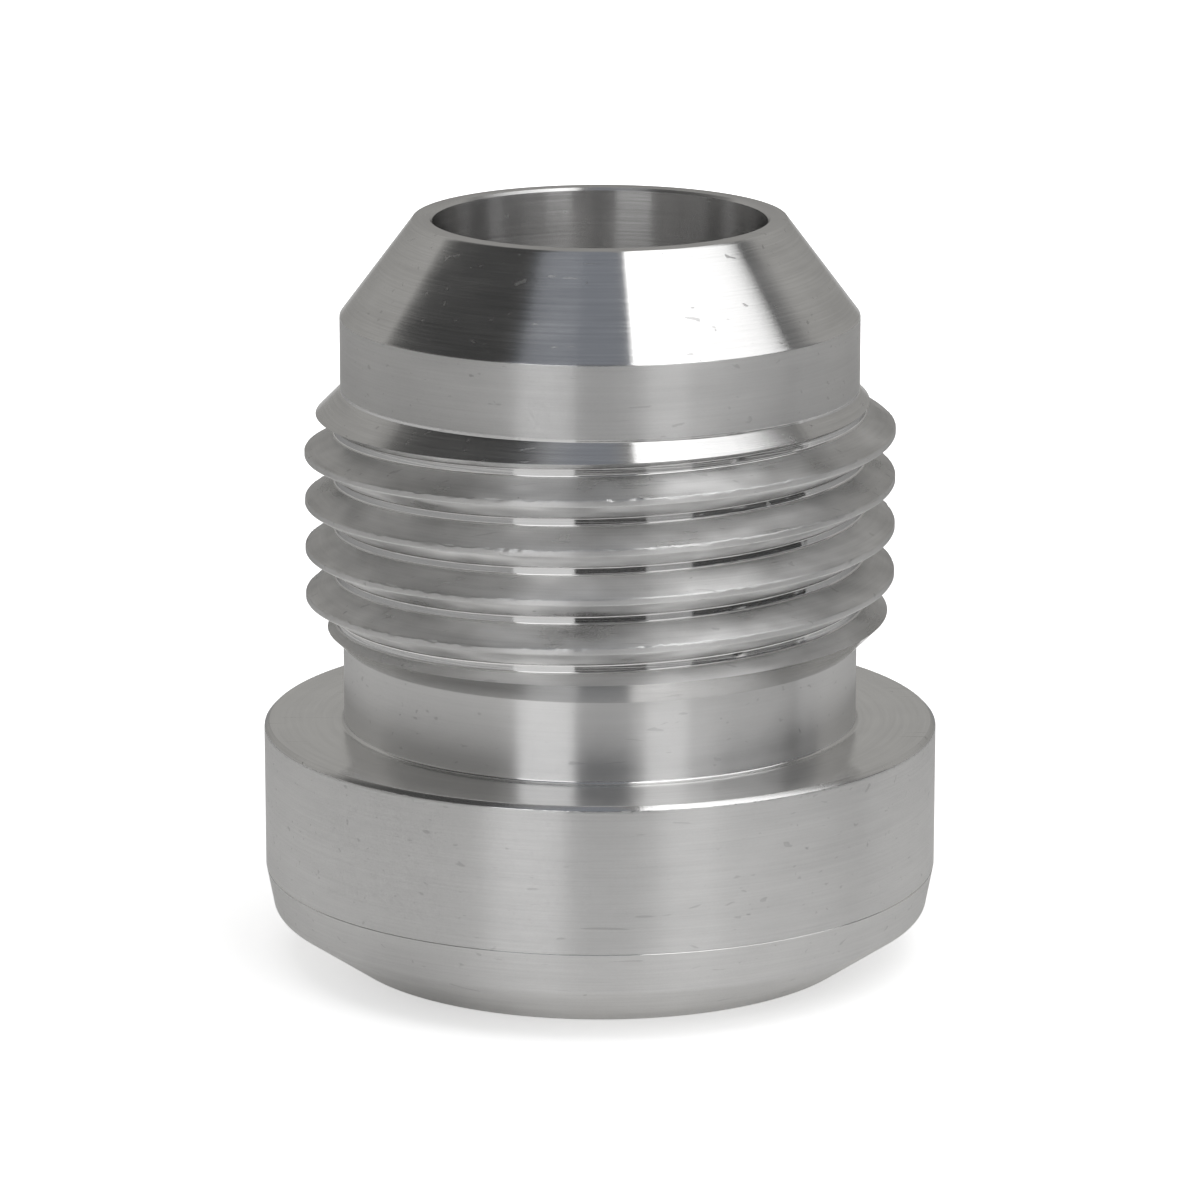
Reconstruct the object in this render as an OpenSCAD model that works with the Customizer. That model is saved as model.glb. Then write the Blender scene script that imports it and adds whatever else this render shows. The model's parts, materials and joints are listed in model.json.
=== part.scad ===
// Weld-on fitting: a male flare fitting with a weld base, turned from one bar of aluminium.
// It stands on its flat weld base. The origin is the centre of that face, and +Z runs along
// the bore towards the flare seat. All sizes are in millimetres.

/* [Bore] */
// Diameter of the plain bore that runs right through
bore_d = 12.48; // [9:0.02:13.5]
// Edge break at both mouths of the bore
bore_break = 0.1; // [0.05:0.01:0.2]

/* [Flare seat] */
// Diameter of the seat cone at its tip
nose_d = 13.92; // [12.9:0.02:18]
// Angle between the seat cone and the axis
seat_angle = 37; // [30:1:45]
// Diameter of the plain pilot below the seat
pilot_d = 19.42; // [16:0.02:19.8]
// Length of the plain pilot
pilot_len = 2.8; // [1:0.05:6]

/* [Thread] */
// Diameter over the thread's crests
thread_d = 22.14; // [21.8:0.02:24]
// Turns of the thread in one inch
threads_per_inch = 14; // [12:1:20]
// Length from the pilot to the neck, with both end chamfers
thread_len = 9.64; // [7:0.02:20]
// Angle between the end chamfers and the axis
thread_end_angle = 45; // [35:1:60]
// Angle about the axis at which a crest leaves the upper chamfer
thread_clock = 24; // [0:1:359]

/* [Neck] */
// Diameter of the relief neck below the thread
neck_d = 19.36; // [16:0.02:19.8]
// Length of the neck
neck_len = 3.06; // [1.7:0.02:8]
// Radius of the corner where the neck meets the flange
neck_fillet_r = 0.14; // [0.05:0.01:0.8]

/* [Weld flange] */
// Diameter of the flange
flange_d = 25.4; // [24:0.1:34]
// Height of the flange's top face above the base
flange_h = 8.93; // [6:0.01:16]
// Chamfer on the flange's top edge
flange_chamfer = 0.17; // [0.05:0.01:0.8]
// Height of the eased band at the flange's foot
ease_h = 1.58; // [0.6:0.02:3]
// How far the eased band leans in over its height
ease_in = 0.3; // [0.05:0.05:1]
// Height of the weld bevel below the eased band
bevel_h = 1.81; // [0.8:0.01:3.5]
// Diameter of the flat base inside the weld bevel
base_d = 19.5; // [15:0.1:23]
// Radius that softens the edge between the bevel and the eased band
bevel_edge_r = 0.35; // [0.1:0.05:0.8]

/* [Hidden] */

inch = 25.4;
turn_steps = 96;
revolve_steps = 192;
arc_steps = 6;
cut_over = 1;

bore_r = bore_d / 2;
nose_r = nose_d / 2;
pilot_r = pilot_d / 2;
neck_r = neck_d / 2;
flange_r = flange_d / 2;
base_r = base_d / 2;
ease_r = flange_r - ease_in;

// A unified thread: flanks at 60 degrees, a flat crest an eighth of the pitch wide
// and a root at 0.6134 of the pitch
pitch = inch / threads_per_inch;
flank_angle = 30;
crest_flat = pitch / 8;
thread_depth = 0.6134 * pitch;
thread_r = thread_d / 2;
root_r = thread_r - thread_depth;
// The cutter stands out past the crests by less than would make its turns meet
cutter_over = crest_flat / 3;
// and travels this far beyond the thread at each end
cutter_run_out = pitch / 4;

// Heights of the shoulders, from the base up
ease_z = bevel_h + ease_h;
neck_z = flange_h + neck_len;
pilot_z = neck_z + thread_len;
seat_z = pilot_z + pilot_len;
nose_z = seat_z + (pilot_r - nose_r) / tan(seat_angle);
lower_crest_z = neck_z + (thread_r - neck_r) / tan(thread_end_angle);
upper_crest_z = pilot_z - (thread_r - pilot_r) / tan(thread_end_angle);

// Points of the arc of radius r that rounds the corner b between a and c
function unit(v) = v / norm(v);
function corner(a, b, c, r) =
    let (
        u = unit(a - b),
        v = unit(c - b),
        half = acos(u * v) / 2,
        centre = b + unit(u + v) * r / sin(half),
        start = b + u * r / tan(half) - centre,
        turn = sign(cross(u, v)) * (180 - 2 * half)
    )
    [for (i = [0 : arc_steps])
        let (s = -turn * i / arc_steps)
        centre + [start.x * cos(s) - start.y * sin(s), start.x * sin(s) + start.y * cos(s)]];

// Height of the groove's middle line at an angle about the axis
function groove_z(angle) = upper_crest_z + pitch * ((angle - thread_clock) / 360 - 0.5);

// Half the groove's width at a radius
function groove_half(r) = (pitch - crest_flat) / 2 - (thread_r - r) * tan(flank_angle);

// Outline of the turned blank, from the axis at the base to the axis at the nose
module blank_outline() {
    base_edge = [base_r, 0];
    bevel_edge = [ease_r, bevel_h];
    ease_edge = [flange_r, ease_z];
    flange_rim = [flange_r - flange_chamfer, flange_h];
    neck_foot = [neck_r, flange_h];
    neck_top = [neck_r, neck_z];
    polygon(concat(
        [[0, 0], base_edge],
        corner(base_edge, bevel_edge, ease_edge, bevel_edge_r),
        [ease_edge, [flange_r, flange_h - flange_chamfer], flange_rim],
        corner(flange_rim, neck_foot, neck_top, neck_fillet_r),
        [neck_top, [thread_r, lower_crest_z], [thread_r, upper_crest_z], [pilot_r, pilot_z]],
        [[pilot_r, seat_z], [nose_r, nose_z], [0, nose_z]]
    ));
}

// The screw-cutting tool's path: a V with a flat tip, swept up a right-hand helix that starts
// over the neck and runs out over the pilot
module thread_groove() {
    outer_r = thread_r + cutter_over;
    section = [
        [root_r, groove_half(root_r)],
        [root_r, -groove_half(root_r)],
        [outer_r, -groove_half(outer_r)],
        [outer_r, groove_half(outer_r)]
    ];
    sides = len(section);
    low_z = neck_z - cutter_run_out;
    high_z = pilot_z + cutter_run_out;
    first_angle = 360 * (low_z - groove_z(0)) / pitch;
    steps = ceil(turn_steps * (high_z - low_z) / pitch);
    points = [
        for (i = [0 : steps], p = section)
        let (angle = first_angle + 360 * i / turn_steps)
        [p.x * cos(angle), p.x * sin(angle), groove_z(angle) + p.y]
    ];
    walls = [
        for (i = [0 : steps - 1], j = [0 : sides - 1])
        let (
            a = i * sides + j,
            b = i * sides + (j + 1) % sides
        )
        each [[a, b, b + sides], [a, b + sides, a + sides]]
    ];
    ends = [
        [for (j = [sides - 1 : -1 : 0]) j],
        [for (j = [0 : sides - 1]) steps * sides + j]
    ];
    polyhedron(points, concat(walls, ends));
}

// The drill's path, with a small countersink at each mouth
module bore_cut() {
    mouth_r = bore_r + bore_break;
    translate([0, 0, -cut_over])
        cylinder(r = bore_r, h = nose_z + 2 * cut_over);
    rotate_extrude()
        polygon([
            [0, -cut_over],
            [mouth_r, -cut_over],
            [mouth_r, 0],
            [0, mouth_r]
        ]);
    rotate_extrude()
        polygon([
            [0, nose_z + cut_over],
            [mouth_r, nose_z + cut_over],
            [mouth_r, nose_z],
            [0, nose_z - mouth_r]
        ]);
}

module fitting_body() {
    color("silver")
        difference() {
            rotate_extrude()
                blank_outline();
            thread_groove();
            bore_cut();
        }
}

$fn = revolve_steps;
fitting_body();
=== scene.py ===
# %% [markdown]
# # A weld-on fitting, turned from one bar of aluminium
#
# This lesson dresses a small machined part: a flare fitting with a seat cone, a plain pilot, a
# screw thread, a relief neck and a weld flange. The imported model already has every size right.
# What it lacks is what the eye reads as machined metal: rounded thread roots, broken edges,
# burrs on the crests, and the fine lines that the tool leaves round the axis.
#
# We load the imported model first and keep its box, because nothing made here may outgrow it.

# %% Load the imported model
import json
import math

import bmesh
import bpy
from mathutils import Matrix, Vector, noise


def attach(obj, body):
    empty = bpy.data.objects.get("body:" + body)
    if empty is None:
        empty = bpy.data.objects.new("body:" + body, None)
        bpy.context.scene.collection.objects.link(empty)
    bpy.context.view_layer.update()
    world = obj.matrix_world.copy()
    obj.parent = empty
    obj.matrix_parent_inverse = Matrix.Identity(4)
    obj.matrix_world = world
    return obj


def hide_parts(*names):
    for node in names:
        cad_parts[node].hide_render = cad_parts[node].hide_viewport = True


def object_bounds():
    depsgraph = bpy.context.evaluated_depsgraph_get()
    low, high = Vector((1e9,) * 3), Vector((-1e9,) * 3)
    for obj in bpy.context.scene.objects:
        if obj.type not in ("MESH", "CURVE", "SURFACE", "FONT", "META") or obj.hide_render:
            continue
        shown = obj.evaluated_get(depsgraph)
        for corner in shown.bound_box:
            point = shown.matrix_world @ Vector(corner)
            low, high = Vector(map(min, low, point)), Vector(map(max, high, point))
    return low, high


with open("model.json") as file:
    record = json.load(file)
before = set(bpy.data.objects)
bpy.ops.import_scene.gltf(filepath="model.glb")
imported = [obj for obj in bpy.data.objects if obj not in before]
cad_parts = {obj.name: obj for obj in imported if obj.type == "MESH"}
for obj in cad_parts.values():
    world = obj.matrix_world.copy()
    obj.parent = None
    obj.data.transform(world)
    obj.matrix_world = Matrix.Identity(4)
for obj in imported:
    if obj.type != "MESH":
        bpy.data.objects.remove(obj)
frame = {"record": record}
cad_low, cad_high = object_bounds()
MM = 0.001
SAME_POINT = 2e-4
print("packed box in mm:", [round(c / MM, 2) for c in (*cad_low, *cad_high)])

# %% [markdown]
# ## The drawing
#
# A turned part is a drawing of radii and heights. The sizes that a mating part touches are read
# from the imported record, so they can't drift from the model. The rest are written here once, in
# millimetres, as they would stand on the drawing.

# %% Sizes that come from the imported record
mounts = {m["name"]: m for m in frame["record"]["mounts"]}


def mount_radius(name):
    return mounts[name]["dims"]["r_mm"]


bore_r = mount_radius("through_bore")
pilot_r = mount_radius("pilot")
flange_r = mount_radius("flange_rim")
nose_z = cad_high.z / MM
print("bore, pilot and flange radius:", bore_r, pilot_r, flange_r, "height:", round(nose_z, 3))

# %% Sizes of the outline, from the nose down
nose_r = 6.96
seat_angle = math.radians(37)
seat_z = nose_z - (pilot_r - nose_r) / math.tan(seat_angle)
pilot_len = 2.8
pilot_z = seat_z - pilot_len
thread_len = 9.64
neck_z = pilot_z - thread_len
neck_r = 9.68
neck_fillet_r = 0.14
flange_z = 8.93
flange_chamfer = 0.17
ease_z = 3.39
ease_r = flange_r - 0.3
bevel_z = 1.81
bevel_edge_r = 0.35
base_r = 9.75
bore_break = 0.1
print("seat, pilot and neck start at", [round(z, 2) for z in (seat_z, pilot_z, neck_z)])

# %% Sizes of the thread
pitch = 25.4 / 14
thread_r = 11.07
root_r = thread_r - 0.6134 * pitch
crest_flat = pitch / 8
flank_slope = math.tan(math.radians(30))
end_slope = math.tan(math.radians(45))
thread_clock = math.radians(24)
upper_crest_z = pilot_z - (thread_r - pilot_r) / end_slope
lower_crest_z = neck_z + (thread_r - neck_r) / end_slope
print("pitch", round(pitch, 4), "root radius", round(root_r, 3))

# %% [markdown]
# ## The thread, cut flat and then rolled up
#
# A thread could be spun up a helix and trimmed with a boolean, but that leaves slivers where a
# cone meets the flanks, and slivers shade badly. There is a neater way. Unroll the barrel in
# your mind, so that x is the angle round the axis, y the distance from it and z the height. On
# this flat sheet the thread is a row of straight ridges, and the chamfer cones at its ends are
# planes. A plane cuts cleanly, so we cut first and roll the sheet up afterwards.
#
# One turn's section starts in the middle of a root. The tool's tip is flat, so the root is flat
# too, with a small round in each corner. The flanks stand at 60 degrees, and the crest keeps a
# narrow flat with its corners broken. A row of points close beside an edge holds the shading, so
# that the flank stays flat and only the corner looks round.

# %% The section of one turn, from root to root
ROOT_STEPS = 4
HOLD = 0.06
root_corner = 0.09
crest_break = 0.03
crest_hold = 0.025


def half_groove(radius):
    return (pitch - crest_flat) / 2 - (thread_r - radius) * flank_slope


def section_points():
    round_z = half_groove(root_r) - root_corner * flank_slope
    rise = [(0, root_r), (round_z - 0.02, root_r)]
    for step in range(ROOT_STEPS + 1):
        turn = math.radians(60) * step / ROOT_STEPS
        rise.append((round_z + root_corner * math.sin(turn),
                     root_r + root_corner * (1 - math.cos(turn))))
    corner_r = thread_r - crest_break
    root_top = rise[-1][1]
    for radius in (root_top + HOLD, corner_r - crest_hold, corner_r):
        rise.append((half_groove(radius), radius))
    rise.append((half_groove(thread_r) + crest_break, thread_r))
    middle = [(pitch / 2, thread_r)]
    fall = [(pitch - z, r) for z, r in reversed(rise)]
    return rise + middle + fall[:-1]


section = section_points()
print(len(section), "points in one turn's section")

# %% [markdown]
# The sheet starts as one upright chain of points. `bmesh.ops.spin` with no angle and a `dvec`
# extrudes it sideways in small steps that also climb. Spin looks through the whole mesh at every
# step, so 504 steps in one go are slow. A strip of 28 columns is made first, and a second spin
# lays copies of the strip side by side. After a full turn the sheet has climbed one pitch, so
# its last column meets the first, one ridge further up.

# %% The flat sheet
STRIP_COLUMNS = 28
STRIPS = 18
bm = bmesh.new()
first_root_z = upper_crest_z - pitch * (thread_clock / math.tau + 0.5)
turns_below = math.ceil((first_root_z - neck_z) / pitch) + 1
turns_above = math.ceil((pilot_z - first_root_z) / pitch) + 1
chain = [
    bm.verts.new((0, r, first_root_z + turn * pitch + z))
    for turn in range(-turns_below, turns_above)
    for z, r in section
]
links = [bm.edges.new(pair) for pair in zip(chain, chain[1:])]
strip_climb = Vector((math.tau, 0, pitch)) / STRIPS
bmesh.ops.spin(bm, geom=chain + links, dvec=strip_climb / STRIP_COLUMNS, steps=STRIP_COLUMNS,
               axis=(0, 0, 1), angle=0, use_merge=False, use_duplicate=False)
bmesh.ops.spin(bm, geom=bm.verts[:] + bm.edges[:] + bm.faces[:], dvec=strip_climb,
               steps=STRIPS - 1, axis=(0, 0, 1), angle=0, use_merge=False, use_duplicate=True)
bmesh.ops.remove_doubles(bm, verts=bm.verts, dist=SAME_POINT)
print("flat sheet:", len(bm.faces), "faces")

# %% [markdown]
# Four planes finish the ends. Two of them only trim the sheet level with the pilot and with the
# neck. The other two are the chamfer cones: they cut an edge into the ridges where cone and
# flank will meet, and what stands out past them is pressed down onto them.

# %% Cut the ends


def cut(point, normal, drop):
    whole = bm.verts[:] + bm.edges[:] + bm.faces[:]
    bmesh.ops.bisect_plane(bm, geom=whole, dist=1e-5, plane_co=point, plane_no=normal,
                           clear_outer=drop)


cut((0, neck_r, neck_z), (0, 0, -1), True)
cut((0, pilot_r, pilot_z), (0, 0, 1), True)
cut((0, neck_r, neck_z), (0, 1, -end_slope), False)
cut((0, pilot_r, pilot_z), (0, 1, end_slope), False)

for v in bm.verts:
    lower_cone = neck_r + (v.co.z - neck_z) * end_slope
    upper_cone = pilot_r + (pilot_z - v.co.z) * end_slope
    v.co.y = min(v.co.y, lower_cone, upper_cone)
print("after the cuts:", len(bm.faces), "faces")

# %% Roll the sheet up


def roll_up(v):
    angle, radius = v.co.x, v.co.y
    return Vector((radius * math.cos(angle), radius * math.sin(angle), v.co.z))


for v in bm.verts:
    v.co = roll_up(v)
bmesh.ops.remove_doubles(bm, verts=bm.verts, dist=SAME_POINT)
open_edges = [e for e in bm.edges if e.is_boundary]
print("rolled up:", len(bm.verts), "points, and open edges at both ends:", len(open_edges))

# %% [markdown]
# ## Burrs on the crests
#
# The tool pushes a little metal over each corner that it cuts. So the upper corner of every crest
# is ragged, with chips that catch the light, while the lower one stays clean. Two noises do it: a
# slow one says where the corner is torn, and a quick one how far each point moves. Noise is read
# at the point's own place, so it is the same on every run and closes up after a full turn.

# %% How ragged an edge is
SLOW_PER_MM = 0.45
QUICK_PER_MM = 3.9
LEAST_TORN = 0.12


def radius_of(v):
    return math.hypot(v.co.x, v.co.y)


def raggedness(point, seed):
    """How far a point moves, from -1 to 1: next to nothing where the edge is clean."""
    shift = Vector((seed, seed, 0))
    how_torn = 3 * (noise.noise(point * SLOW_PER_MM + shift) + 0.25)
    return max(LEAST_TORN, min(1, how_torn)) * noise.noise(point * QUICK_PER_MM + shift)


def tear_at(v, seed, up, inwards, full_r):
    """Move one point of an edge up or down by the noise, and never outwards."""
    tear = raggedness(v.co, seed)
    v.co.z += up * tear
    v.co.xy *= 1 - inwards * abs(tear) / full_r


crest_point = Vector((thread_r, 0, upper_crest_z))
print("raggedness at one point of a crest:", round(raggedness(crest_point, 5), 3))

# %% Tear the upper corners of the crests
BURR_Z = 0.075
BURR_R = 0.03
CORNER_DEPTH = 0.045
CORNER_WIDTH = 0.05
upper_corner = pitch - half_groove(thread_r)
torn = set()
for v in bm.verts:
    turned = math.atan2(v.co.y, v.co.x) / math.tau
    phase = (v.co.z - first_root_z - pitch * turned) % pitch
    if radius_of(v) > thread_r - CORNER_DEPTH and abs(phase - upper_corner) < CORNER_WIDTH:
        tear_at(v, 5, BURR_Z, BURR_R, thread_r)
        torn.add(v)
print("ragged points on the crests:", len(torn))

# %% [markdown]
# Where the work paused against the tool, the bottom of the groove has a short patch of ripples.
# They stand at the same two angles in every turn, because the lathe turned in step with the tool.

# %% Chatter in the roots
CHATTER = {-59.7: 1.2, -42.0: 2.4}
CHATTER_DEPTH = 0.009
CHATTER_PER_MM = 6.1
CHATTER_REACH = 0.12
rippled = 0
for v in bm.verts:
    angle = math.atan2(v.co.y, v.co.x)
    for middle, half_width in CHATTER.items():
        in_patch = abs(angle - math.radians(middle)) < math.radians(half_width)
        if in_patch and radius_of(v) < root_r + CHATTER_REACH:
            v.co.xy *= 1 + CHATTER_DEPTH * noise.noise(v.co * CHATTER_PER_MM) / root_r
            rippled += 1
print("rippled points in the roots:", rippled)

# %% [markdown]
# ## The rest, drawn out of the thread's two ends
#
# The other surfaces are plain turning. Each is a ring pulled on from the last one: extrude the
# open edge, then set the new ring's radius and height. Doing it this way, and not by spinning a
# second piece, makes every point line up with the threaded band, so the skin is one piece.

# %% A ring pulled on from station to station
AT_STATION = 2e-3


def open_ring(height):
    return [e for e in bm.edges
            if e.is_boundary and all(abs(v.co.z - height) < AT_STATION for v in e.verts)]


def draw_out(ring, stations):
    for radius, height in stations:
        made = bmesh.ops.extrude_edge_only(bm, edges=ring)["geom"]
        fresh = {g for g in made if isinstance(g, bmesh.types.BMVert)}
        for v in fresh:
            scale = radius / radius_of(v)
            v.co = (v.co.x * scale, v.co.y * scale, height)
        ring = [g for g in made if isinstance(g, bmesh.types.BMEdge) and fresh.issuperset(g.verts)]
    return ring


print("edges in the open ring at the pilot:", len(open_ring(pilot_z)))

# %% Up over the nose and into the bore
middle_z = nose_z / 2
pilot_foot = 0.11
seat_hold = 0.09
upper_ring = draw_out(open_ring(pilot_z), [
    (pilot_r, pilot_z + pilot_foot),
    (pilot_r, seat_z - HOLD),
    (pilot_r, seat_z),
    (pilot_r - seat_hold * math.tan(seat_angle), seat_z + seat_hold),
    (nose_r + seat_hold * math.tan(seat_angle), nose_z - seat_hold),
    (nose_r, nose_z),
    (bore_r + bore_break, nose_z),
    (bore_r, nose_z - bore_break),
    (bore_r, nose_z - 2 * bore_break),
    (bore_r, middle_z + 2),
])
print("drawn up over the nose and into the bore:", len(upper_ring), "edges in the last ring")

# %% [markdown]
# Downwards there is more to draw: a small fillet where the neck meets the flange, the chamfered
# rim, an eased band at the foot of the flange and the bevel that the weld bead will fill. A fine
# line where two passes of the tool met parts the band from the flange. The corner between the band
# and the bevel is soft, so it is an arc that touches both.

# %% Arcs for the rounded corners
ARC_STEPS = 6


def arc(centre, radius, start, end):
    """Points of an arc in the radius and height plane, with both ends."""
    turns = [math.radians(start + (end - start) * i / ARC_STEPS) for i in range(ARC_STEPS + 1)]
    return [(centre[0] + radius * math.cos(t), centre[1] + radius * math.sin(t)) for t in turns]


def corner(before, at, after, radius):
    """The arc that rounds one corner of the outline."""
    before, at, after = Vector(before), Vector(at), Vector(after)
    to_before, to_after = (before - at).normalized(), (after - at).normalized()
    half = to_before.angle(to_after) / 2
    centre = at + (to_before + to_after).normalized() * radius / math.sin(half)
    first = at + to_before * radius / math.tan(half) - centre
    last = at + to_after * radius / math.tan(half) - centre
    sweep = first.angle_signed(last)
    start = math.atan2(first.y, first.x)
    return arc(centre, radius, math.degrees(start), math.degrees(start - sweep))


print("points in the fillet:", len(arc((0, 0), neck_fillet_r, 180, 270)))

# %% Down over the flange and back up the bore
ease_edge = (flange_r, ease_z)
bevel_edge = (ease_r, bevel_z)
base_edge = (base_r, 0)
bevel_slope = (ease_r - base_r) / bevel_z
line_half = 0.025
fillet_centre = (neck_r + neck_fillet_r, flange_z + neck_fillet_r)
lower_ring = draw_out(open_ring(neck_z), [
    (neck_r, neck_z - HOLD),
    (neck_r, flange_z + neck_fillet_r + HOLD),
    *arc(fillet_centre, neck_fillet_r, 180, 270),
    (neck_r + neck_fillet_r + HOLD, flange_z),
    (flange_r - flange_chamfer, flange_z),
    (flange_r, flange_z - flange_chamfer),
    (flange_r, flange_z - flange_chamfer - 0.08),
    (flange_r, flange_z - flange_chamfer - 0.16),
    (flange_r, ease_z + 0.1),
    (flange_r, ease_z + line_half),
    (flange_r - 0.03, ease_z),
    (flange_r - 0.01, ease_z - line_half),
    (flange_r - 0.026, ease_z - 0.12),
    *corner(ease_edge, bevel_edge, base_edge, bevel_edge_r),
    *[(base_r + height * bevel_slope, height) for height in (0.66, 0.16)],
    base_edge,
    (bore_r + bore_break, 0),
    (bore_r, bore_break),
    (bore_r, 2 * bore_break),
    (bore_r, middle_z - 2),
])
bmesh.ops.bridge_loops(bm, edges=upper_ring + lower_ring)
bmesh.ops.recalc_face_normals(bm, faces=bm.faces)
print("closed skin:", not any(e.is_boundary for e in bm.edges), len(bm.faces), "faces")

# %% [markdown]
# ## Broken edges
#
# No real edge is a perfect corner. A fine bevel of a few hundredths of a millimetre on every
# turned shoulder catches the light as a thin line, and that line is what makes metal look hard.
# The bevel is not clamped: it would shrink to nothing, because the rings keep a few very short
# edges where the thread was cut.

# %% Break the turned edges
edge_break = 0.025
shoulders = [(pilot_r, seat_z), (nose_r, nose_z), (flange_r - flange_chamfer, flange_z),
             (flange_r, flange_z - flange_chamfer), base_edge]


def at_station(v, stations):
    radius = radius_of(v)
    return any(abs(radius - r) < AT_STATION and abs(v.co.z - z) < AT_STATION for r, z in stations)


shoulder_edges = [e for e in bm.edges if all(at_station(v, shoulders) for v in e.verts)]
bmesh.ops.bevel(bm, geom=shoulder_edges, offset=edge_break, offset_type="OFFSET", segments=2,
                profile=0.5, affect="EDGES", clamp_overlap=False, material=-1)
print("broke", len(shoulder_edges), "edges; the skin now has", len(bm.faces), "faces")

# %% [markdown]
# The flange's own corner was cut last, so its lower edge keeps a burr like the one on the crests.
# Only the two lower rows of the bevel move. The chamfer above them stays a clean mirror.

# %% Tear the lower edge of the flange's chamfer
RIM_BURR_Z = 0.035
RIM_BURR_R = 0.02
RIM_DEPTH = 0.01
RIM_WIDTH = 0.06
chamfer_foot = flange_z - flange_chamfer
for v in bm.verts:
    if radius_of(v) > flange_r - RIM_DEPTH and abs(v.co.z - chamfer_foot) < RIM_WIDTH:
        tear_at(v, 11, RIM_BURR_Z, RIM_BURR_R, flange_r)
        torn.add(v)
print("ragged points on the crests and the flange:", len(torn))

# %% [markdown]
# ## Which tool cut which face
#
# Each operation on the lathe leaves its own finish: a fine cut on the seat and the chamfers, a
# coarser one on the walls, a form tool in the thread and a reamer in the bore. Where a face lies
# and how it tilts tell which tool cut it.

# %% The finish of one face
NEAR = 0.05
FINISHES = ["satin_turning", "pilot_turning", "neck_turning", "fine_turning", "faced_shoulder",
            "thread_flank", "thread_root", "thread_crest", "reamed_bore"]


def finish_of(face):
    centre = face.calc_center_median()
    radius, z = math.hypot(centre.x, centre.y), centre.z
    face_tilt = math.degrees(math.asin(face.normal.z))
    if radius < bore_r + NEAR:
        return "reamed_bore"
    if neck_z < z < pilot_z and radius > pilot_r - NEAR:
        on_cone = abs(abs(face_tilt) - 45) < 4
        if on_cone and radius < thread_r - 0.02 and (z > upper_crest_z or z < lower_crest_z):
            return "fine_turning"
        if radius > thread_r - 0.035:
            return "thread_crest"
        return "thread_root" if radius < root_r + root_corner / 2 else "thread_flank"
    if radius > pilot_r - NEAR and pilot_z < z < pilot_z + pilot_foot:
        return "thread_root"
    if z > seat_z or 20 < face_tilt < 80:
        return "fine_turning"
    if face_tilt > 80 and radius > neck_r:
        return "faced_shoulder"
    if z > pilot_z:
        return "pilot_turning"
    return "neck_turning" if flange_z < z < neck_z else "satin_turning"


bm.normal_update()
for f in bm.faces:
    f.material_index = FINISHES.index(finish_of(f))
counts = [sum(f.material_index == i for f in bm.faces) for i in range(len(FINISHES))]
print("faces by finish:", dict(zip(FINISHES, counts)))

# %% [markdown]
# Smooth shading blends the tilt of neighbouring faces, which suits turned walls. It has to stop
# at real edges and at the torn ones, or a chip would bend the reflection of a whole flank.

# %% Smooth walls, sharp edges
SHARP_ABOVE = math.radians(22)


def borders_a_tear(edge):
    touching = [any(v in torn for v in f.verts) for f in edge.link_faces]
    return touching.count(True) == 1


for f in bm.faces:
    f.smooth = True
for e in bm.edges:
    e.smooth = e.calc_face_angle(0) < SHARP_ABOVE and not borders_a_tear(e)
print("sharp edges:", sum(not e.smooth for e in bm.edges))

# %% [markdown]
# The mesh is in millimetres so far. Blender's file is in metres, so the points are scaled, not
# the object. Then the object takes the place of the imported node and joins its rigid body.

# %% Finish the mesh
for v in bm.verts:
    v.co *= MM
mesh = bpy.data.meshes.new("turned_fitting")
bm.to_mesh(mesh)
bm.free()
fitting = bpy.data.objects.new("turned_fitting", mesh)
bpy.context.scene.collection.objects.link(fitting)
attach(fitting, "root")
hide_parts("fitting_body")
mesh.calc_loop_triangles()
print("triangles:", len(mesh.loop_triangles))

# %% [markdown]
# ## Helpers for node trees
#
# A material is a small graph. Two helpers keep the graph readable in code: one adds a node and
# fills or links its inputs by name, the other does arithmetic on two values.

# %% Add a node, do sums


def add(tree, kind, inputs=(), **settings):
    """A node of this kind. An input's value is a number, a colour or another node's output."""
    made = tree.nodes.new(kind)
    for key, value in settings.items():
        setattr(made, key, value)
    for key, value in dict(inputs).items():
        if isinstance(value, bpy.types.NodeSocket):
            tree.links.new(value, made.inputs[key])
        else:
            made.inputs[key].default_value = value
    return made


def sums(tree, operation, a, b=0.0, clamp=False):
    return add(tree, "ShaderNodeMath", {0: a, 1: b}, operation=operation,
               use_clamp=clamp).outputs[0]


print("helpers for node trees:", add.__name__, "and", sums.__name__)

# %% [markdown]
# ## Lines left by the tool
#
# The tool leaves rings round the axis, a few hundredths of a millimetre apart. A ring is a place
# where the height, plus a part of the radius on sloping faces, stays the same. So noise that is
# stretched along x and y and squeezed along that sum makes rings that fade in and out as they go
# round. A node group keeps this effect in one place, and every finish sets it in its own way.
#
# `Grain` is far too fine to see, and it isn't stretched. On some of the metal the tool tore the
# surface dull and the rest it burnished, so a finish uses the grain to mix a blurred reflection
# with a sharp one.

# %% A node group with named sockets


def new_group(name, inputs, outputs):
    group = bpy.data.node_groups.new(name, "ShaderNodeTree")
    for socket, value in inputs.items():
        made = group.interface.new_socket(socket, in_out="INPUT", socket_type="NodeSocketFloat")
        made.default_value = value
    for socket in outputs:
        group.interface.new_socket(socket, in_out="OUTPUT", socket_type="NodeSocketFloat")
    return group, add(group, "NodeGroupInput").outputs, add(group, "NodeGroupOutput").inputs


def noise_at(tree, vector, detail):
    """Noise from -1 to 1, spread so that it uses most of that range."""
    made = add(tree, "ShaderNodeTexNoise", {"Vector": vector, "Scale": 1.0, "Detail": detail,
                                            "Roughness": 0.6})
    return sums(tree, "MULTIPLY", sums(tree, "SUBTRACT", made.outputs["Fac"], 0.5), 4.0)


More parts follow.
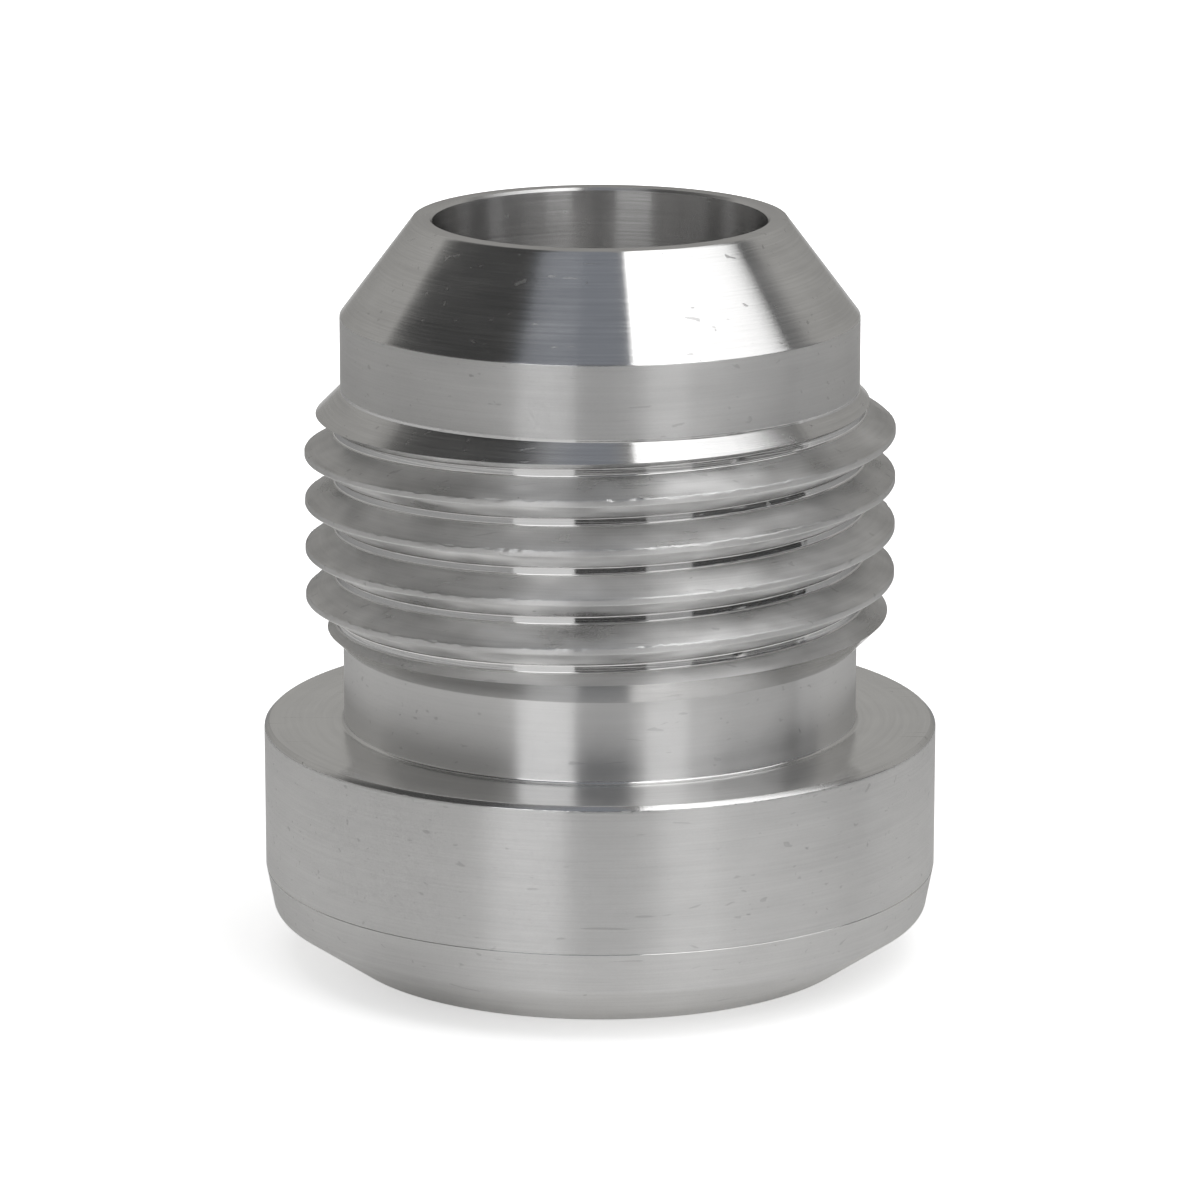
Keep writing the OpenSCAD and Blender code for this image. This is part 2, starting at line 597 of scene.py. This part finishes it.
MM_PER_M = 1000
turning_lines, given, result = new_group(
    "turning_lines", {"Lines per mm": 12.0}, ["Lines", "Drift", "Grain"])
place = add(turning_lines, "ShaderNodeTexCoord").outputs["Object"]
x, y, z = add(turning_lines, "ShaderNodeSeparateXYZ", {0: place}).outputs
flat = add(turning_lines, "ShaderNodeVectorMath", {0: place, 1: (1, 1, 0)}, operation="MULTIPLY")
radius = add(turning_lines, "ShaderNodeVectorMath", {0: flat.outputs[0]},
             operation="LENGTH").outputs["Value"]
along = sums(turning_lines, "SUBTRACT", z, sums(turning_lines, "MULTIPLY", radius, 0.35))
per_m = sums(turning_lines, "MULTIPLY", given["Lines per mm"], MM_PER_M)
print("nodes that read the place:", len(turning_lines.nodes))

# %% Rings from stretched noise
GRAIN_FINER = 9.0


def rings(around, density, detail):
    """Noise in rings: stretched round the axis, squeezed along the height and the slope."""
    stretched = add(turning_lines, "ShaderNodeCombineXYZ", {
        "X": sums(turning_lines, "MULTIPLY", x, around),
        "Y": sums(turning_lines, "MULTIPLY", y, around),
        "Z": sums(turning_lines, "MULTIPLY", along, density)}).outputs[0]
    return noise_at(turning_lines, stretched, detail)


turning_lines.links.new(rings(170.0, per_m, 2.0), result["Lines"])
fine = sums(turning_lines, "MULTIPLY", per_m, GRAIN_FINER)
turning_lines.links.new(rings(40000.0, fine, 0.0), result["Grain"])
broad = add(turning_lines, "ShaderNodeMapping", {"Vector": place, "Scale": (260, 260, 900)})
turning_lines.links.new(noise_at(turning_lines, broad.outputs[0], 2.0), result["Drift"])
print("node group:", turning_lines.name, "with", len(turning_lines.nodes), "nodes")

# %% [markdown]
# ## Marks from handling
#
# A part that has lain in a bin with others has specks and short hairline scratches. Both are the
# rare peaks of a noise: cut it off near its top and only small islands are left. If the space is
# stretched first, the islands become short lines, and a turned space makes them lean.

# %% A node group for specks and scratches


def peaks(tree, turn, scale, share):
    """Small islands where a noise comes near its top, larger and more of them as share grows."""
    place = add(tree, "ShaderNodeTexCoord").outputs["Object"]
    leaned = add(tree, "ShaderNodeMapping", {"Vector": place, "Rotation": turn, "Scale": scale})
    waves = add(tree, "ShaderNodeTexNoise", {"Vector": leaned.outputs[0], "Scale": 1.0,
                                             "Detail": 0.0, "Distortion": 0.6}).outputs["Fac"]
    edge = sums(tree, "SUBTRACT", 0.9, share)
    return add(tree, "ShaderNodeMapRange", {"Value": waves, "From Min": edge,
                                            "From Max": sums(tree, "ADD", edge, 0.03)}).outputs[0]


handling_marks, given, result = new_group(
    "handling_marks", {"Speck share": 0.04, "Scratch share": 0.1}, ["Specks", "Scratches"])
specks = peaks(handling_marks, (0.4, 0.2, 0.1), (2600, 2600, 2600), given["Speck share"])
handling_marks.links.new(specks, result["Specks"])
leaning = peaks(handling_marks, (0.2, 0.9, 0.5), (260, 5200, 5200), given["Scratch share"])
steep = peaks(handling_marks, (1.1, 0.3, 2.1), (220, 4400, 4400), given["Scratch share"])
handling_marks.links.new(sums(handling_marks, "MAXIMUM", leaning, steep), result["Scratches"])
print("node group:", handling_marks.name, "with", len(handling_marks.nodes), "nodes")

# %% [markdown]
# ## The metal
#
# Turned aluminium reflects evenly along the rings and spreads the light across them. That is why
# a lit turned part shows bright bands that run along its length. The Principled shader does this
# with `Anisotropic`, given a tangent that runs round the axis; a quarter turn of the rotation
# lays the spread across the rings. Each finish differs in how rough it is, how much the lines
# and the marks show, and how deep they are. Each finish also has a factor that makes its whole
# colour lighter or darker: that is painted light and shade, not a difference in the metal.

# %% One metal
ALUMINIUM = (0.80, 0.797, 0.793)
DULL_ROUGHNESS = 0.75
GRAIN_SPREAD = 1.2
SCRATCH_STRENGTH = 0.6
WORN_ROUGHNESS = 0.75
UNEVEN_ROUGHNESS = 1.5


def metal(name, roughness, lines, drift, dull=0, anisotropy=1.0, depth=0.0008, marks=0.2,
          edge_tint=0.8, painted_light_level=1.0):
    """One finish. dull is the share of the metal that is torn; depth is in millimetres. The last
    argument is painted light and shade, a factor on the whole colour.
    """
    material = bpy.data.materials.new(name)
    material.use_nodes = True
    tree = material.node_tree
    shader = tree.nodes["Principled BSDF"]
    shader.inputs["Metallic"].default_value = 1
    shader.inputs["Specular Tint"].default_value = (edge_tint, edge_tint, edge_tint, 1)
    shader.inputs["Anisotropic"].default_value = anisotropy
    shader.inputs["Anisotropic Rotation"].default_value = 0.25
    tangent = add(tree, "ShaderNodeTangent", direction_type="RADIAL", axis="Z")
    tree.links.new(tangent.outputs[0], shader.inputs["Tangent"])

    turned = add(tree, "ShaderNodeGroup", node_tree=turning_lines)
    marked = add(tree, "ShaderNodeGroup", node_tree=handling_marks)
    line = turned.outputs["Lines"]
    scratches = sums(tree, "MULTIPLY", marked.outputs["Scratches"], SCRATCH_STRENGTH)
    worn = sums(tree, "MAXIMUM", marked.outputs["Specks"], scratches)
    in_lines = sums(tree, "MULTIPLY", line, lines)
    varied = sums(tree, "ADD", in_lines, sums(tree, "MULTIPLY", turned.outputs["Drift"], drift))

    # Painted light and shade: the factor added here lifts or darkens the whole colour of this
    # finish.
    shade = sums(tree, "ADD", varied, painted_light_level)
    shade = sums(tree, "SUBTRACT", shade, sums(tree, "MULTIPLY", worn, marks))
    colour = add(tree, "ShaderNodeVectorMath", {0: ALUMINIUM, "Scale": shade}, operation="SCALE")
    tree.links.new(colour.outputs[0], shader.inputs["Base Color"])

    uneven = sums(tree, "MULTIPLY", varied, UNEVEN_ROUGHNESS * roughness)
    rough = sums(tree, "ADD", uneven, roughness)
    if dull:
        torn_here = sums(tree, "LESS_THAN", turned.outputs["Grain"], (dull - 0.5) * GRAIN_SPREAD)
        extra = sums(tree, "MULTIPLY", torn_here, DULL_ROUGHNESS - roughness)
        rough = sums(tree, "ADD", rough, extra)
    worn_rough = sums(tree, "MULTIPLY", worn, WORN_ROUGHNESS * marks)
    tree.links.new(sums(tree, "ADD", rough, worn_rough, clamp=True), shader.inputs["Roughness"])

    bump = add(tree, "ShaderNodeBump", {"Height": line, "Distance": depth * MM})
    tree.links.new(bump.outputs[0], shader.inputs["Normal"])
    return material


print("bare aluminium:", ALUMINIUM)

# %% Nine finishes
# The last factor in each row is painted light and shade: it lifts the neck, the pilot and the
# satin walls and darkens the thread flanks.
finishes = [
    metal("satin_turning", 0.31, lines=0.035, drift=0.045, dull=0.45, anisotropy=0.97, painted_light_level=1.02),
    metal("pilot_turning", 0.31, lines=0.03, drift=0.04, dull=0.6, anisotropy=0.97, painted_light_level=1.03),
    metal("neck_turning", 0.30, lines=0.02, drift=0.03, dull=0.14, painted_light_level=1.09),
    metal("fine_turning", 0.165, lines=0.07, drift=0.08, depth=0.0006, marks=0.25),
    metal("faced_shoulder", 0.13, lines=0.06, drift=0.05, depth=0.0006, edge_tint=1.0),
    metal("thread_flank", 0.36, lines=0.05, drift=0.30, dull=0.2, anisotropy=0.9, depth=0.0012,
          painted_light_level=0.97),
    metal("thread_root", 0.10, lines=0.05, drift=0.05, anisotropy=0.9, depth=0.0006),
    metal("thread_crest", 0.34, lines=0.04, drift=0.06, dull=0.3, anisotropy=0.9, depth=0.0012),
    metal("reamed_bore", 0.24, lines=0.05, drift=0.03, depth=0.0012, marks=0.06),
]
for material in finishes:
    mesh.materials.append(material)
print("finishes in order:", [m.name for m in mesh.materials] == FINISHES, len(mesh.materials))

# %% [markdown]
# ## The camera
#
# The photo looks down by 14 degrees through a long lens. The bore's mouth is a flat ellipse, and
# the walls hardly lean. The lens, the distance and the tilt were fitted together, until the
# outline of the model lay over the outline in the photo.

# %% Camera
camera_data = bpy.data.cameras.new("camera")
camera_data.lens = 177.8
camera_data.sensor_width = 36
camera = bpy.data.objects.new("camera", camera_data)
bpy.context.scene.collection.objects.link(camera)
aim = Vector((0, 0, 13.43)) * MM
tilt = math.radians(13.948)
distance = 223.5 * MM
camera.location = aim + Vector((0, -math.cos(tilt), math.sin(tilt))) * distance
camera.rotation_euler = (aim - camera.location).to_track_quat("-Z", "Y").to_euler()
bpy.context.scene.camera = camera
bpy.context.scene.view_settings.view_transform = "Standard"
print("camera at", [round(c, 4) for c in camera.location])

# %% [markdown]
# ## The studio tent
#
# Bare metal has little to show of its own: what we see in it is the room. A product photographer
# hangs white cloth and black cards round a part like this one, and each of them becomes a band on
# the metal. So the room can be read from the photo. A band on the seat, on a wall or on a chamfer
# gives the azimuth and the elevation of a panel, and its brightness gives the panel's level.
#
# Every panel is a patch of a sphere round the part. It glows, and only reflections see it. The
# four that are real lamps also light the floor.

# %% A curved panel
WHITE, COOL, WARM = (1, 1, 1), (0.94, 1, 1.12), (1.015, 1, 0.965)
panels = []


def direction(azimuth, elevation):
    """Azimuth 0 is towards the camera and 90 to its right."""
    a, e = math.radians(azimuth), math.radians(elevation)
    return Vector((math.cos(e) * math.sin(a), -math.cos(e) * math.cos(a), math.sin(e)))


def glow(name, level, tint):
    material = bpy.data.materials.new(name)
    material.use_nodes = True
    paint = material.node_tree.nodes["Principled BSDF"]
    paint.inputs["Base Color"].default_value = (0, 0, 0, 1)
    paint.inputs["Specular IOR Level"].default_value = 0
    paint.inputs["Emission Color"].default_value = (*tint, 1)
    paint.inputs["Emission Strength"].default_value = level
    return material


def panel(name, azimuths, elevations, level, distance, lights_floor=False, lean=0, tint=WHITE):
    """A panel curved round the fitting, between two azimuths and two elevations.

    lean is how many degrees its sides have moved round by its top."""
    bm = bmesh.new()
    bmesh.ops.create_grid(bm, x_segments=12, y_segments=6, size=0.5)
    for v in bm.verts:
        azimuth = azimuths[0] + (v.co.x + 0.5) * (azimuths[1] - azimuths[0])
        azimuth += lean * (v.co.y + 0.5) ** 3
        elevation = elevations[0] + (v.co.y + 0.5) * (elevations[1] - elevations[0])
        v.co = aim + direction(azimuth, elevation) * distance
    panel_mesh = bpy.data.meshes.new(name)
    bm.to_mesh(panel_mesh)
    bm.free()
    panel_mesh.materials.append(glow(name, level, tint))
    made = bpy.data.objects.new(name, panel_mesh)
    made.visible_camera = False
    made.visible_shadow = False
    made.visible_diffuse = lights_floor
    if not lights_floor:
        panel_mesh.materials[0].cycles.emission_sampling = "NONE"
    bpy.context.scene.collection.objects.link(made)
    panels.append(made)


print("towards the camera:", [round(c, 2) for c in direction(0, 0)])

# %% The tent, from the cloth at the back to the key light
panel("tent_back", (100, 260), (-3, 40), 0.36, 0.70, tint=WARM)
panel("tent_top", (-180, 180), (38, 90), 0.25, 0.72, tint=WARM)
panel("left_wall", (-114, -36), (-3, 40), 0.28, 0.68, tint=WARM)
panel("left_flag", (-119, -50), (27, 74), 0.05, 0.62)
panel("front_flag", (-12, 20), (-3, 40), 0.15, 0.66)
panel("front_top", (-52, 22), (38, 90), 0.22, 0.64, tint=COOL)
panel("right_flag", (38, 114), (-3, 36), 0.18, 0.66)
panel("right_gap", (105, 116), (20, 60), 0.15, 0.63)
panel("left_strip", (-38, -11), (15, 38), 1.4, 0.58, True)
panel("right_strip", (19, 56), (14, 34), 0.65, 0.58, True)
panel("key_hot", (16, 60), (37, 79), 1.8, 0.58, True, lean=26)
panel("key_soft", (61, 103.5), (33, 79), 1.4, 0.59, True)
print("panels:", len(panels), "and lamps among them:", sum(p.visible_diffuse for p in panels))

# %% [markdown]
# The flat bottom of the thread's groove is a mirror that looks slightly down. In the photo every
# turn shows the same dashes there: a bright one, a black one, a grey one and a long dark one. So
# a ring of small cards stands close round the part, just over the table, at those angles.

# %% Low cards, and a soft lamp overhead
CARD_DISTANCE = 0.0566
CARD_ELEVATIONS = (-13.7, -2.6)
low_cards = {"card_left": (-180, -34.1, 0.32), "card_bright": (-34.1, -9.8, 0.68),
             "card_black": (-9.8, 18.0, 0.02), "card_grey": (18.0, 36.4, 0.3),
             "card_dark": (36.4, 90.9, 0.03), "card_right": (90.9, 180, 0.32)}
for name, (start, end, level) in low_cards.items():
    panel(name, (start, end), CARD_ELEVATIONS, level, CARD_DISTANCE)

lamp_side = 0.6
lamp = bpy.data.lights.new("overhead_softbox", "AREA")
lamp.size = lamp_side
lamp.energy = math.pi * lamp_side ** 2
overhead = bpy.data.objects.new("overhead_softbox", lamp)
overhead.location = aim + Vector((0, 0, 0.6))
overhead.visible_camera = False
overhead.visible_glossy = False
bpy.context.scene.collection.objects.link(overhead)
print("low cards:", len(low_cards), "and the lamp's power:", round(lamp.energy, 2))

# %% [markdown]
# ## The table
#
# The background is white with a soft shadow, so the camera sees a pale floor that is lifted by a
# glow of its own. The glow is weaker near the part, where the shadow lies. The metal must not see
# this floor: the walls look down at the table and would turn too pale. So a grey mat lies on it
# that only reflections see. Each wall looks at another ring of the mat, so its grey changes with
# the distance. The rings close to the part are darker, which is painted shade. A painted shadow,
# a darker spot near the foot, is what the weld bevel shows at its left.

# %% A sheet that covers the table
SHEET_REACH = 1.5


def sheet(name, height):
    bm = bmesh.new()
    bmesh.ops.create_grid(bm, x_segments=1, y_segments=1, size=SHEET_REACH)
    bmesh.ops.translate(bm, verts=bm.verts, vec=(0, 0, height))
    sheet_mesh = bpy.data.meshes.new(name)
    bm.to_mesh(sheet_mesh)
    bm.free()
    made = bpy.data.objects.new(name, sheet_mesh)
    bpy.context.scene.collection.objects.link(made)
    material = bpy.data.materials.new(name)
    material.use_nodes = True
    paint = material.node_tree.nodes["Principled BSDF"]
    paint.inputs["Roughness"].default_value = 0.9
    paint.inputs["Specular IOR Level"].default_value = 0
    sheet_mesh.materials.append(material)
    place = add(material.node_tree, "ShaderNodeTexCoord").outputs["Object"]
    far = add(material.node_tree, "ShaderNodeVectorMath", {0: place}, operation="LENGTH")
    return made, material.node_tree, paint.inputs, place, far.outputs["Value"]


print("a sheet reaches", SHEET_REACH, "m to each side")

# %% The grey mat that the metal sees
# The dips to 0.84 and 0.78 close to the part are painted shade on the mat.
MAT_GREYS = {0.13: 0.84, 0.17: 0.78, 0.24: 1.0, 0.32: 1.0, 0.40: 0.86}
MAT_MIDDLE, MAT_EDGE = 0.8, 0.7
MAT_GLOW = 0.3
mat, tree, paint, place, far = sheet("grey_mat", -0.02 * MM)
mat.visible_camera = False
mat.visible_diffuse = False
mat.visible_shadow = False
ramp = add(tree, "ShaderNodeValToRGB", {"Fac": sums(tree, "MULTIPLY", far, 10.0)})
stops = ramp.color_ramp.elements
for spot, shade in MAT_GREYS.items():
    stops.new(spot).color = (shade, shade, shade, 1)
stops[0].color = (MAT_MIDDLE, MAT_MIDDLE, MAT_MIDDLE, 1)
stops[-1].position = 0.60
stops[-1].color = (MAT_EDGE, MAT_EDGE, MAT_EDGE, 1)
# Painted shadow: the mat's grey drops to 0.6 round a spot near the foot, to the front left.
painted_shadow_at = (-7.5 * MM, -9 * MM, 0)
to_painted_shadow = add(tree, "ShaderNodeVectorMath", {0: place, 1: painted_shadow_at},
                operation="DISTANCE").outputs["Value"]
painted_shadow = add(tree, "ShaderNodeMapRange", {"Value": to_painted_shadow, "From Min": 1 * MM,
                                          "From Max": 7 * MM, "To Min": 0.6}).outputs[0]
grey = sums(tree, "MULTIPLY", ramp.outputs["Color"], painted_shadow)
tree.links.new(sums(tree, "MULTIPLY", grey, 1 - MAT_GLOW), paint["Base Color"])
tree.links.new(sums(tree, "MULTIPLY", grey, MAT_GLOW), paint["Emission Strength"])
paint["Emission Color"].default_value = (*WARM, 1)
print("mat greys at radii in mm:", {round(100 * spot): shade for spot, shade in MAT_GREYS.items()})

# %% The pale floor that the camera sees
NEAR_GLOW, FAR_GLOW, GLOW_REACH = 0.45, 1.0, 120
floor, tree, paint, place, far = sheet("pale_floor", -0.05 * MM)
paint["Base Color"].default_value = (0.85, 0.85, 0.85, 1)
paint["Emission Color"].default_value = (1, 1, 1, 1)
lift = add(tree, "ShaderNodeMapRange", {"Value": far, "From Max": GLOW_REACH * MM,
                                        "To Min": NEAR_GLOW, "To Max": FAR_GLOW}).outputs[0]
path = add(tree, "ShaderNodeLightPath")
seen = sums(tree, "MULTIPLY", lift, path.outputs["Is Camera Ray"])
mirrored = sums(tree, "MULTIPLY", path.outputs["Is Glossy Ray"], 0.35)
tree.links.new(sums(tree, "MAXIMUM", seen, mirrored), paint["Emission Strength"])
print(floor.name, "glows from", NEAR_GLOW, "at the part to", FAR_GLOW, "at", GLOW_REACH, "mm")

# %% [markdown]
# The world is plain white behind the floor. For the floor's own shading it is dimmed, or the
# soft shadow under the part would wash out.

# %% World
WORLD_FOR_DIFFUSE = 0.4
world = bpy.data.worlds.new("studio")
bpy.context.scene.world = world
world.use_nodes = True
tree = world.node_tree
path = add(tree, "ShaderNodeLightPath")
level = add(tree, "ShaderNodeMix", {"Factor": path.outputs["Is Diffuse Ray"], "A": 1.0,
                                    "B": WORLD_FOR_DIFFUSE}).outputs[0]
tree.links.new(level, tree.nodes["Background"].inputs["Strength"])
tree.nodes["Background"].inputs["Color"].default_value = (1, 1, 1, 1)
print("world dimmed for diffuse rays to", WORLD_FOR_DIFFUSE)
